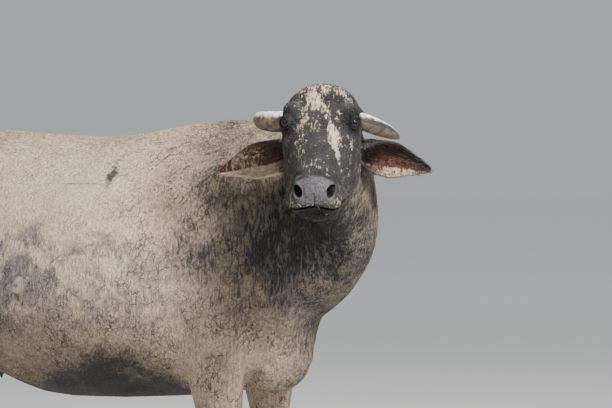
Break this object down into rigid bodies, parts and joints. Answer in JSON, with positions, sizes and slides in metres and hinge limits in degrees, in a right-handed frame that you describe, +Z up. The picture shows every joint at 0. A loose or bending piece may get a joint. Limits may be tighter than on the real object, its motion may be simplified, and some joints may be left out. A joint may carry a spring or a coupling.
{
  "type": "water buffalo",
  "caption": "Life-size standing water buffalo cow with mud-caked hide, short swept-back horns, cupped ears, cloven hooves and its head turned to its right.",
  "frame": {"origin": "on the floor under the middle of the animal's bounding box", "axes": "+X forwards to the chest end, +Y to the animal's left, +Z up"},
  "size_m": [1.859, 1.0124, 1.4099],
  "materials": {
    "skin": "dull dark grey hide with dried mud and sparse short hair",
    "horn": "satin, pale on top and ringed",
    "claw": "dull dark hoof horn",
    "eye": "wet, dark brown",
    "hair": "coarse dark hair"
  },
  "bodies": {
    "root": {"torso": "skin", "neck": "skin", "head": "skin", "ear_left": "skin", "ear_right": "skin", "horn_left": "horn", "horn_right": "horn", "eye_left": "eye", "eye_right": "eye", "foreleg_left": "skin", "foreleg_right": "skin", "hindleg_left": "skin", "hindleg_right": "skin", "front_foot_left_claw_left": "claw", "front_foot_left_claw_right": "claw", "front_foot_right_claw_left": "claw", "front_foot_right_claw_right": "claw", "hind_foot_left_claw_left": "claw", "hind_foot_left_claw_right": "claw", "hind_foot_right_claw_left": "claw", "hind_foot_right_claw_right": "claw", "tail": "skin", "tail_switch": "hair"}
  },
  "joints": []
}
